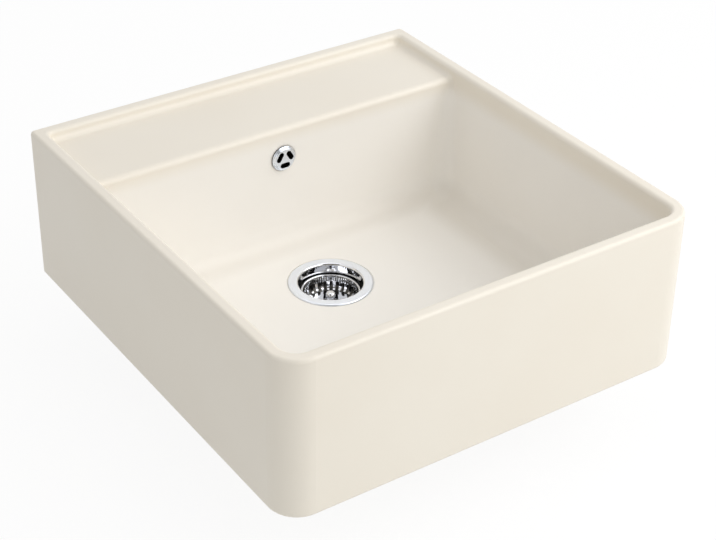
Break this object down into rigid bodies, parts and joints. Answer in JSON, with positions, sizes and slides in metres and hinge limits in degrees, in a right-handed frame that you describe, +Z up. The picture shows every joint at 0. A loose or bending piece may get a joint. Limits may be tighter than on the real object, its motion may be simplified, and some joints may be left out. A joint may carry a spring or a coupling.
{
  "type": "kitchen sink",
  "caption": "Deep single-bowl ceramic kitchen sink with a plain front, a lowered tap ledge at the back, a lift-out basket strainer waste and an overflow.",
  "frame": {"origin": "middle of the basin's underside, where it stands on its cabinet", "axes": "+X to the right as seen from the front, +Y towards the wall behind the tap ledge, +Z up"},
  "size_m": [0.595, 0.63, 0.324],
  "materials": {
    "glaze": "ivory gloss glaze on fireclay, bare at the foot and in the hollow under the ledge",
    "polished_steel": "mirror-polished stainless steel",
    "plain_steel": "turned stainless steel",
    "brass": "machined brass",
    "rubber": "matt black rubber",
    "moulding": "white moulded polypropylene",
    "acetal": "dark grey moulded acetal"
  },
  "bodies": {
    "sink": {"basin": "glaze", "strainer_cup": "polished_steel", "flange_gasket": "rubber", "lower_gasket": "rubber", "waste_body": "moulding", "outlet_tail": "moulding", "clamp_screw": "plain_steel", "screw_washer": "rubber", "insert_nut": "brass", "overflow_rosette": "polished_steel", "rosette_gasket": "rubber", "overflow_gasket": "rubber", "overflow_elbow": "moulding", "overflow_pipe": "moulding", "elbow_nut": "moulding", "elbow_seal": "rubber", "spigot_nut": "moulding", "spigot_seal": "rubber"},
    "plug": {"seal_carrier": "acetal", "plug_seal": "rubber"},
    "basket": {"strainer_basket": "polished_steel", "basket_knob": "polished_steel", "basket_stem": "plain_steel", "stem_clip": "plain_steel"}
  },
  "joints": [
    {"name": "basket_lift", "type": "slide", "parent": "sink", "child": "plug", "axis": [0, 0, 1], "range_m": [0, 0.065]},
    {"name": "basket_turn", "type": "hinge", "parent": "plug", "child": "basket", "pos_m": [0, 0.047, 0], "axis": [0, 0, 1], "continuous": true}
  ]
}
